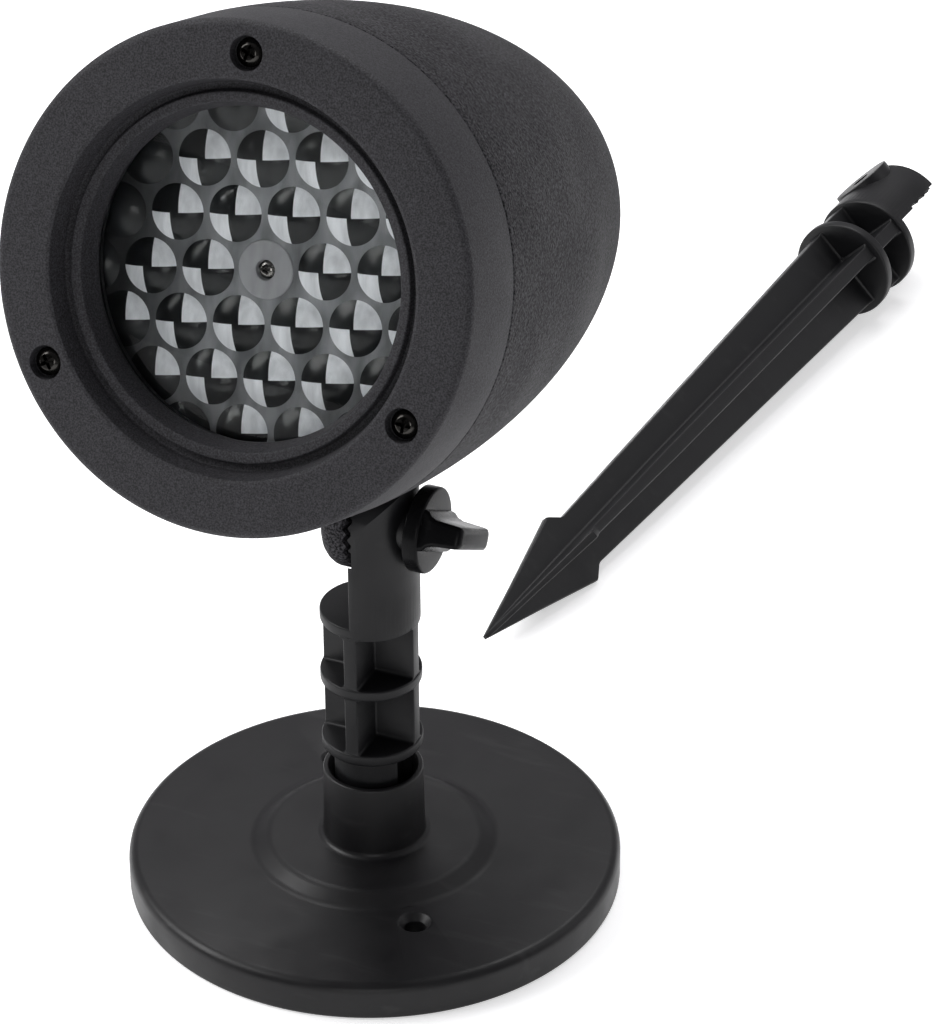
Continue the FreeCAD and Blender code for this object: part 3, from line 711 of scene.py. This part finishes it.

# %% [markdown]
# ## Ground stake
# The stake is the same idea drawn out to a point: two crossed blades that
# taper from the rings to a barbed tip, so that it pushes into soil and stays.
# It is drawn standing on its tip, slice by slice, and is then laid on the
# floor at a given heading and tilt, and moved into the frame's box for it.

# %% Stake blades, rings and ear
STAKE_R = 14.5
RING_1 = 209.2
RING_2 = 224.8
STAKE_BOLT = 243.0
STAKE_END = 250.0
STAKE_BOSS_R = 9.0
BARB = 45.4
barb_stations = [(0.0, 0.45, 1.0), (2.0, 0.95, 1.1), (20, 4.9, 1.6), (BARB - 1.5, 10.4, 2.4),
                 (BARB - 0.4, 10.7, 2.4), (BARB + 0.3, 10.4, 2.4), (49.2, 8.1, 2.5), (50.4, 7.8, 2.5)]
shaft_stations = [(90, 8.95, 3.6), (150, 10.6, 4.0), (RING_1 - 2, 12.2, 4.0), (RING_1 - 0.9, 12.3, 4.0),
                  (RING_1 - 0.4, 12.4, 4.4), (RING_1 - 0.1, 12.5, 5.4), (RING_1 + 0.4, 12.5, 5.8)]
blades = solid(skin([cross_slice(w, t, z, min(0.4, t * 0.3), min(0.8, w * 0.2, t * 0.4))
                     for z, w, t in barb_stations + shaft_stations]))
stake_parts = [bay(13.4, 4.0, RING_1 + 3.0, RING_2)]
stake_parts += [rod(STAKE_R, z, 3.0, edge=0.5, turns=128) for z in (RING_1, RING_2)]
stake_parts.append(clamp_ear(STAKE_R, RING_2 + 2.0, STAKE_BOLT, STAKE_END,
                             STAKE_BOSS_R, STAKE_R + 0.4))
combine(blades, stake_parts, "UNION")
print("stake is", STAKE_BOLT + STAKE_BOSS_R, "mm long")

# %% Laying the stake down
STAKE_HEADING = math.radians(6.1)
STAKE_PITCH = math.radians(2.3)
low, high = (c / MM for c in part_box("ground_stake"))
lying = (Matrix.Rotation(-STAKE_HEADING, 4, "Z") @ Matrix.Rotation(STAKE_PITCH - math.pi / 2, 4, "X")
         @ Matrix.Rotation(math.radians(-135), 4, "Z"))
points = [lying @ v.co for v in blades.data.vertices]
here = Vector((min(p.x for p in points), min(p.y for p in points), min(p.z for p in points)))
there = Vector((max(p.x for p in points), max(p.y for p in points), max(p.z for p in points)))
shift = ((low + high) - (here + there)) / 2
shift.z = low.z - here.z
present(blades, "stake", ROW @ Matrix.Translation(shift) @ lying, "stake", "ground_stake",
        [stake_finish])
print("stake moved by", [round(v, 2) for v in shift], "mm onto the floor")

# %% [markdown]
# ## Rear housing
# The housing is an egg cut off at both ends, with a thin wall. A subdivided
# sphere could be cut down to it, but an ellipse turned about the axis is
# exact and has even faces. The lug that takes the clamp grows out of its
# underside. It is a stack of side outlines that shrink towards its left face,
# which rounds that face off.

# %% Housing shell
PARTING = 20.9
PARTING_R = 54.2
EGG_CENTRE = 22.0
EGG_LENGTH = 145.0
HOUSING_END = 158.0
WALL = 2.6


def egg_side(inset, end, count):
    """Points along one side of the egg, from its widest place to `end`."""
    last = math.asin((end - EGG_CENTRE) / (EGG_LENGTH - inset))
    side = []
    for k in range(count + 1):
        a = last * k / count
        side.append(((PARTING_R - inset) * math.cos(a),
                     EGG_CENTRE + (EGG_LENGTH - inset) * math.sin(a), 0))
    return side


outside = egg_side(0, HOUSING_END, 56)
outside[-1] = (outside[-1][0], outside[-1][1], 1.2)
inside = egg_side(WALL, HOUSING_END - WALL, 40)
CABLE_R = 6.0
housing_outline = ([(PARTING_R, PARTING, 0.55)] + outside
                   + [(CABLE_R, HOUSING_END, 0), (CABLE_R, HOUSING_END - WALL, 0)]
                   + list(reversed(inside)) + [(PARTING_R - WALL, PARTING, 0.3)])
housing = solid(lathe(rounded(housing_outline), 192), ALONG_DEPTH)
core_outline = [(0, HOUSING_END - WALL, 0)] + list(reversed(inside)) + [(0, EGG_CENTRE, 0)]
core = solid(lathe([Vector(p[:2]) for p in core_outline], 96), ALONG_DEPTH)
print("the housing narrows from", PARTING_R, "to", round(outside[-1][0], 1), "mm radius")

# %% Clamp lug under the housing
LUG_R = 12.2
LUG_T = 8.0
LUG_INSETS = ((-LUG_T, 4.8), (-7.6, 3.2), (-6.8, 1.9), (-5.6, 0.8), (-4.4, 0.2), (-3.4, 0),
              (-1.6, 0), (-1.2, 0.2), (-1.0, 0.5))
bolt_in_head = HEAD.inverted() @ (bolt * MM)


def lug_slice(x, inset):
    """The lug's side outline, seen from the right, `inset` smaller."""
    r = LUG_R - inset
    y, z = bolt_in_head.y, bolt_in_head.z
    outline = [(x, y + 24 - inset, -36.0), (x, y + 20 - inset, z + 18)]
    for k in range(25):
        a = math.radians(-10 - 160 * k / 24)
        outline.append((x, y + r * math.cos(a), z + r * math.sin(a)))
    return outline + [(x, y - 20 + inset, z + 18), (x, y - 24 + inset, -36.0)]


lug = solid(skin([lug_slice(x, inset) for x, inset in LUG_INSETS]))
about_lug = Matrix.Translation(bolt_in_head) @ ALONG_X
bolt_head_seat = rod(4.0, -9.0, 4.6, about_lug, 0, 6)
combine(lug, [core, bolt_head_seat, rod(2.7, -9, 10, about_lug)], "DIFFERENCE")
lug_teeth = solid(tooth_ring(PAD_R, LUG_R - 0.2, -1.2, -0.15),
                  Matrix.Translation(bolt_in_head) @ Matrix.Rotation(tilt + math.pi / TEETH, 4, "X"))
combine(housing, [lug, lug_teeth], "UNION")
present(housing, "housing", HEAD, "head", "rear_housing", [shell_finish], 38)

# %% [markdown]
# ## Front ring
# The ring is the face of the head. Its section decides the whole look: a small
# round on the outer edge, a broad flat face, a steep edge down into a narrow
# valley, a raised ring inside it, and a last step down to the window. All of
# it is one lathed outline; only the three screw pockets are cut afterwards.

# %% Front ring
SCREW_CIRCLE = 46.8
SCREW_ANGLES = (92, 212, 332)
SCREW_SEAT = 2.6
GLASS_DEPTH = 10.3
WINDOW_R = 34.9


def around(radius, degrees, depth):
    """A place in the head frame on a circle about the optical axis."""
    a = math.radians(degrees)
    return Vector((radius * math.cos(a), depth, radius * math.sin(a)))


ring_outline = rounded([
    (53.5, 0.0, 1.7), (PARTING_R, PARTING, 0.5), (50.4, PARTING, 0.2), (50.0, 5.0, 1.0),
    (42.6, 4.4, 0.6), (42.2, 13.6, 0.2), (38.5, 13.6, 0.1), (38.5, GLASS_DEPTH, 0),
    (WINDOW_R, GLASS_DEPTH, 0.1), (WINDOW_R, 9.3, 0.2), (35.5, 7.2, 0.3), (36.2, 4.5, 0.5),
    (38.4, 4.1, 0.4), (38.8, 5.6, 0.3), (40.3, 5.6, 0.5), (41.3, 0.3, 0.3), (42.0, 0.0, 0.3)], 6)
ring = solid(lathe(ring_outline, 192), ALONG_DEPTH)
posts, pockets = [], []
for degrees in SCREW_ANGLES:
    at_screw = Matrix.Translation(around(SCREW_CIRCLE, degrees, 0)) @ ALONG_DEPTH
    posts.append(rod(4.6, 3.0, PARTING - 3.2, at_screw))
    pocket = rounded([(0, -1, 0), (4.2, -1, 0), (3.65, 0.0, 0.4), (3.6, SCREW_SEAT, 0.3),
                      (1.5, SCREW_SEAT, 0), (1.5, 24, 0), (0, 24, 0)])
    pockets.append(solid(lathe(pocket, 64), at_screw))
combine(ring, posts, "UNION")
combine(ring, pockets, "DIFFERENCE")
present(ring, "front_ring", HEAD, "head", "front_bezel", [ring_finish], 40)

# %% [markdown]
# ### Cross-recess screws
# Each screw has a domed pan head with a cross recess whose walls lean in. The
# recess is two crossed wedges cut out of a lathed head. The three screws are
# never at the same angle, because a hand stopped turning each one at its own
# moment.

# %% Screws


def cross_screw(head_r, head_h, shank_r, shank_l, at, degrees):
    """A pan-head screw along the head's depth, its head's underside at `at`."""
    outline = rounded([(0, -head_h, 0), (head_r * 0.55, -head_h * 0.97, 0.8),
                       (head_r, -head_h * 0.5, 0.5), (head_r, 0, 0.15), (shank_r, 0, 0),
                       (shank_r, shank_l, 0.3), (0, shank_l, 0)])
    screw = solid(lathe(outline, 64), ALONG_DEPTH)
    wedges = []
    for quarter in (0, 90):
        wide, narrow, deep = head_r * 0.62, head_r * 0.30, head_h * 0.75
        rings = []
        for reach, half, z in ((wide * 1.1, 0.40, -head_h - 0.4), (narrow, 0.24, -head_h + deep)):
            corners = rounded([(-reach, -half, 0.1), (reach, -half, 0.1),
                               (reach, half, 0.1), (-reach, half, 0.1)], 2)
            rings.append([(x, y, z) for x, y in corners])
        turned = Matrix.Rotation(math.radians(degrees + quarter), 4, "Z")
        wedges.append(solid(skin(rings), ALONG_DEPTH @ turned))
    combine(screw, wedges, "DIFFERENCE")
    screw.data.transform(Matrix.Translation(at))
    return screw


def gather(parts):
    """Puts several solids that don't touch into one object."""
    joined = bmesh.new()
    for part in parts:
        joined.from_mesh(part.data)
        bpy.data.objects.remove(part)
    return solid(joined)


screws = gather([cross_screw(3.0, 1.9, 1.25, 24, around(SCREW_CIRCLE, a, SCREW_SEAT), turned)
                 for a, turned in zip(SCREW_ANGLES, (20, 57, 4))])
present(screws, "ring_screws", HEAD, "head", "bezel_screws", [black_steel])

# %% [markdown]
# ## Window
# A disc of clear acrylic with its edge just broken. It is a true solid, 2.5 mm
# thick, so it bends light a little. A single flat face would be simpler, but
# it would have no edge and would mirror only once.

# %% Window
PANE_R = 38.25
pane = rounded([(0, GLASS_DEPTH + 0.02, 0), (PANE_R, GLASS_DEPTH + 0.02, 0.25),
                (PANE_R, GLASS_DEPTH + 2.48, 0.25), (0, GLASS_DEPTH + 2.48, 0)])
window = solid(lathe(pane, 160), ALONG_DEPTH)
present(window, "window", HEAD, "head", "window_glass", [window_finish])

# %% [markdown]
# ## Lens wheel
# The wheel carries a honeycomb of small domed lenses, turned a few degrees from
# level at rest. Through each lens the print shows as four quarters, two
# opposite ones pale and two dark, and a quarter beyond the film's edge stays
# dark. The dark gap between the pale quarters is wider on the left, as it looks
# from the front right, and keeps that width when the wheel turns. Each dome is
# turned on the lathe and sliced along the edges of its quarters, and each face
# gets its finish by where it lies.

# %% Lens places
LENS_PITCH = 13.15
LENS_R = 5.9
LENS_RISE = 1.9
WHEEL_R = 41.2
WHEEL_T = 2.0
WHEEL_AT_REST = math.radians(-8.6)
wheel_turn = Matrix.Rotation(WHEEL_AT_REST, 4, "Y")
lens_places = []
for row in range(-3, 4):
    for column in range(-4, 5):
        x = (column + 0.5 * (row % 2)) * LENS_PITCH
        z = row * LENS_PITCH * math.sqrt(0.75)
        if 1.0 < math.hypot(x, z) < 3.05 * LENS_PITCH:
            lens_places.append(wheel_turn @ Vector((x, 0, z)))
print(len(lens_places), "lenses round the hub")

# %% Domes with quarters
WEB, PALE, DARK, HUB = range(4)
FILM_CENTRE = Vector((1.5, 0, -0.5))
FILM_R = 33.5
NARROW_GAP = 0.30
EXTRA_GAP = 0.85
GAP_REACH = 34


def dome_outline(base_r, rise, level, foot):
    """Half section of a domed button that stands on `level`, towards -depth."""
    bulge = (base_r ** 2 + rise ** 2) / (2 * rise)
    last = math.asin(base_r / bulge)
    arc = []
    for k in range(9):
        a = last * k / 8
        arc.append((bulge * math.sin(a), level - rise + bulge * (1 - math.cos(a))))
    return arc + [(base_r, level + foot), (0, level + foot)]


def lens_cell(centre):
    """One dome, its faces marked PALE or DARK."""
    mesh = lathe(dome_outline(LENS_R, LENS_RISE, WHEEL_DEPTH, 0.4), 40)
    mesh.transform(ALONG_DEPTH)
    over_film = {}
    for side in (1, -1):
        middle = centre + wheel_turn @ Vector((side * LENS_R * 0.42, 0, side * LENS_R * 0.42))
        over_film[side] = (middle - FILM_CENTRE).length < FILM_R
    gap = NARROW_GAP + EXTRA_GAP * (1 - min(1, max(0, (centre.x + GAP_REACH) / (2 * GAP_REACH))))
    for offset, normal in ((gap, (1, 0, 0)), (-gap, (1, 0, 0)), (0, (0, 0, 1))):
        bmesh.ops.bisect_plane(mesh, geom=mesh.verts[:] + mesh.edges[:] + mesh.faces[:],
                               plane_co=Vector(normal) * offset, plane_no=normal)
    for face in mesh.faces:
        c = face.calc_center_median()
        upper_right = c.x > gap and c.z > 0
        lower_left = c.x < -gap and c.z < 0
        lit = (upper_right and over_film[1]) or (lower_left and over_film[-1])
        rim = math.hypot(c.x, c.z) > LENS_R * 0.96
        face.material_index = PALE if lit and not rim else DARK
    mesh.transform(Matrix.Translation(centre) @ wheel_turn)
    for vertex in mesh.verts:
        reach = math.hypot(vertex.co.x, vertex.co.z)
        if reach > WHEEL_R - 0.3:
            vertex.co.x *= (WHEEL_R - 0.3) / reach
            vertex.co.z *= (WHEEL_R - 0.3) / reach
    return mesh


disc = lathe(rounded([(2.4, WHEEL_DEPTH, 0), (WHEEL_R, WHEEL_DEPTH, 0.4),
                      (WHEEL_R, WHEEL_DEPTH + WHEEL_T, 0.4), (2.4, WHEEL_DEPTH + WHEEL_T, 0)]), 128)
hub = lathe(rounded([(0.95, 19.3, 0), (2.1, 19.3, 0.2), (2.1, 17.9, 0.25), (6.1, 18.1, 0.3),
                     (6.3, 18.6, 0.2), (3.8, 18.8, 0), (3.8, 23.6, 0.3), (1.6, 23.6, 0),
                     (1.6, 20.2, 0), (0.95, 20.2, 0)]), 64)
for mesh, index in ((disc, WEB), (hub, HUB)):
    mesh.transform(ALONG_DEPTH)
    for face in mesh.faces:
        face.material_index = index
wheel_mesh = bmesh.new()
for mesh in [disc, hub] + [lens_cell(centre) for centre in lens_places]:
    part = bpy.data.meshes.new("part")
    mesh.to_mesh(part)
    mesh.free()
    wheel_mesh.from_mesh(part)
wheel = solid(wheel_mesh)
marks = [polygon.material_index for polygon in wheel.data.polygons]
present(wheel, "lens_wheel_clear", HEAD, "wheel", "lens_wheel",
        [lens_web, pale_quarter, dark_quarter, frosted_hub], 30)
wheel.data.polygons.foreach_set("material_index", marks)

hub_screw = cross_screw(1.9, 1.1, 0.9, 3.1, Vector((0, WHEEL_DEPTH + 0.9, 0)), 62)
present(hub_screw, "hub_screw", HEAD, "wheel", "wheel_screw", [dull_steel])

# %% [markdown]
# ## Wing knob
# The knob that tightens the clamp is a disc with a bar across it for finger and
# thumb. It is glossier than the rest, so it gets its own finish. The bar is a
# stack of rounded rectangles. Its root is thick, to hold the brass insert, and
# it thins out in a sweep and draws in at its end, as a part must to leave its
# mould.

# %% Wing knob
KNOB_X = 12.3
KNOB_TURN = math.radians(-30)
knob_axis = Matrix.Translation((0, 0, bolt.z)) @ ALONG_X
knob = solid(lathe(rounded([(0, KNOB_X, 0), (5.6, KNOB_X, 0.1), (5.6, 12.6, 0), (10.0, 12.6, 0.5),
                            (10.0, 16.4, 0.7), (0, 16.4, 0)]), 128), knob_axis)
levels = ((15.6, 8.8, 4.9), (16.4, 8.8, 4.8), (17.4, 8.9, 4.5), (18.2, 9.1, 3.6), (19.6, 9.4, 3.0),
          (25.0, 9.2, 2.6), (25.8, 9.0, 2.4), (26.25, 8.5, 1.9), (26.4, 7.9, 1.3))
bar_slices = []
for x, half_long, half_thick in levels:
    corners = rounded([(-half_long, -half_thick, 1.0), (half_long, -half_thick, 1.0),
                       (half_long, half_thick, 1.0), (-half_long, half_thick, 1.0)])
    bar_slices.append([(x, y, z) for y, z in corners])
wing = solid(skin(bar_slices), Matrix.Translation((0, 0, bolt.z)) @ Matrix.Rotation(KNOB_TURN, 4, "X"))
combine(knob, [wing], "UNION")
insert_seat = rod(4.05, KNOB_X - 1, 6.0, knob_axis, 0, 6)
bolt_way = rod(2.8, KNOB_X - 1, 6.3, knob_axis)
combine(knob, [insert_seat, bolt_way], "DIFFERENCE")
present(knob, "knob", ROW, "knob", "wing_knob", [knob_finish], 35)

# %% [markdown]
# ## Cable gland
# The cable leaves through a gland at the back of the housing: a hexagon that
# screws in, and a cap with finger ridges that squeezes a rubber seal. The
# ridges are shallow round bars set by a loop.

# %% Cable gland
gland = rod(8.5 / math.cos(math.radians(30)), HOUSING_END, 5.0, ALONG_DEPTH, 0.5, 6)
neck = [rod(CABLE_R, HOUSING_END - 8, 8.2, ALONG_DEPTH, 0.3),
        rod(6.6, HOUSING_END + 4.8, 5.2, ALONG_DEPTH, 0.3)]
combine(gland, neck, "UNION")
combine(gland, [rod(4.6, HOUSING_END - 9, 20, ALONG_DEPTH)], "DIFFERENCE")
present(gland, "gland_hexagon", HEAD, "head", "gland_body", [knob_finish])

cap_at = HOUSING_END + 5.0
cap_outline = rounded([(6.6, cap_at, 0.2), (8.0, cap_at, 0.4), (8.0, cap_at + 5.4, 1.8),
                       (4.8, cap_at + 9.5, 1.0), (3.4, cap_at + 9.5, 0.4),
                       (3.4, cap_at + 6.5, 0), (6.6, cap_at + 5.0, 0)])
cap = solid(lathe(cap_outline, 96), ALONG_DEPTH)
grips = []
for i in range(18):
    about = ALONG_DEPTH @ Matrix.Rotation(math.radians(20 * i), 4, "Z") @ Matrix.Translation((7.75, 0, 0))
    grips.append(rod(0.6, cap_at + 0.3, 4.6, about, 0.3, 12))
combine(cap, grips, "UNION")
present(cap, "gland_nut", HEAD, "head", "gland_cap", [knob_finish])

# %% [markdown]
# ## Everything inside
# The motor, lamps, board and seals already have their true shapes in the frame.
# They stay as they are and only need finishes: moulded black, rubber, circuit
# board, phosphor and sleeve. A narrow bevel modifier breaks their edges.

# %% Inner finishes


def plain_mould(name, dark, light, roughness, grain, depth):
    """Anything moulded or coated, with a little grain and cloudiness."""
    f = Finish(name, light, roughness)
    f.wire(f.tint(f.span(f.noise(grain * 6, 3.0), 0.35, 0.65, 0, 1), dark, light), "Base Color")
    f.wire(f.span(f.noise(grain * 11), 0.3, 0.7, roughness - 0.06, roughness + 0.08), "Roughness")
    f.wire(f.bump(f.noise(grain, 2.0), depth), "Normal")
    return f.material


def clear_optic(name, colour, roughness):
    """Glass or silicone lens with faint ripples."""
    f = Finish(name, colour, roughness)
    f.wire(f.bump(f.noise(3.0), 0.004), "Normal")
    f.set("Transmission Weight", 1.0)
    f.set("IOR", 1.5)
    return f.material


inner_black = plain_mould("inner_black", (0.010, 0.010, 0.011), (0.022, 0.022, 0.024), 0.5, 0.5, 0.02)
rubber = plain_mould("rubber", (0.008, 0.008, 0.008), (0.016, 0.016, 0.016), 0.8, 0.3, 0.02)
board_green = plain_mould("board_green", (0.010, 0.075, 0.030), (0.020, 0.130, 0.055), 0.35, 0.4, 0.01)
board_white = plain_mould("board_white", (0.62, 0.62, 0.60), (0.78, 0.78, 0.76), 0.4, 0.4, 0.01)
phosphor = plain_mould("phosphor", (0.55, 0.42, 0.06), (0.80, 0.66, 0.16), 0.5, 0.2, 0.01)
chip_black = plain_mould("chip_black", (0.012, 0.012, 0.012), (0.030, 0.030, 0.030), 0.55, 0.2, 0.01)
can_sleeve = plain_mould("can_sleeve", (0.010, 0.014, 0.050), (0.020, 0.030, 0.100), 0.3, 0.6, 0.01)
pale_film = plain_mould("pale_film", (0.55, 0.56, 0.58), (0.72, 0.73, 0.75), 0.4, 0.5, 0.005)
clear_glass = clear_optic("clear_glass", (0.97, 0.98, 0.98), 0.02)
silicone = clear_optic("silicone", (0.96, 0.95, 0.90), 0.10)
print("ten inner finishes")

# %% Finishes for the carried-over nodes
inner_finishes = {
    inner_black: ("slide_frame", "chassis_plate", "window_retainer", "gland_lock_nut"),
    rubber: ("bezel_seal", "window_gasket", "gland_seal"),
    zinc_steel: ("stem_washer", "stem_screw", "clamp_bolt", "retainer_screws", "motor_shaft",
                 "chassis_screws", "motor_gearbox", "motor_can", "motor_screws", "sink_screws",
                 "board_screws"),
    brass: ("knob_insert",),
    aluminium: ("heat_sink",),
    board_green: ("driver_board",),
    board_white: ("led_board",),
    phosphor: ("led_packages",),
    chip_black: ("driver_chips", "driver_transformer"),
    can_sleeve: ("driver_capacitor",),
    pale_film: ("slide_film",),
    clear_glass: ("condenser_lenses",),
    silicone: ("led_domes",),
}
EDGE_BREAK = 0.12
painted = 0
for finish, names in inner_finishes.items():
    for name in names:
        node = frame["nodes"][name]
        node.data.materials.clear()
        node.data.materials.append(finish)
        bevel = node.modifiers.new("edge_break", "BEVEL")
        bevel.width = EDGE_BREAK * MM
        bevel.segments = 2
        bevel.limit_method = "ANGLE"
        bevel.angle_limit = math.radians(50)
        painted += 1
print(painted, "inner nodes have a finish")

# %% [markdown]
# ## Floor
# The floor is plain and almost white, and slightly rough. It glows a little of
# its own, which keeps it white beside a black object and fills the shadows. It
# is wide enough that its edge shows only to a viewer close to the floor.

# %% Floor
floor_mesh = bmesh.new()
bmesh.ops.create_grid(floor_mesh, x_segments=2, y_segments=2, size=4.0)
floor_data = bpy.data.meshes.new("floor")
floor_mesh.to_mesh(floor_data)
floor_mesh.free()
floor = bpy.data.objects.new("floor", floor_data)
scene.collection.objects.link(floor)
paper = Finish("paper", (0.90, 0.90, 0.90), 0.75)
paper.wire(paper.tint(paper.noise(60), (0.88, 0.88, 0.885), (0.92, 0.92, 0.925)), "Base Color")
paper.set("Emission Color", (1, 1, 1, 1))
paper.set("Emission Strength", 0.5)
floor.data.materials.append(paper.material)
print("floor is 8 m square")
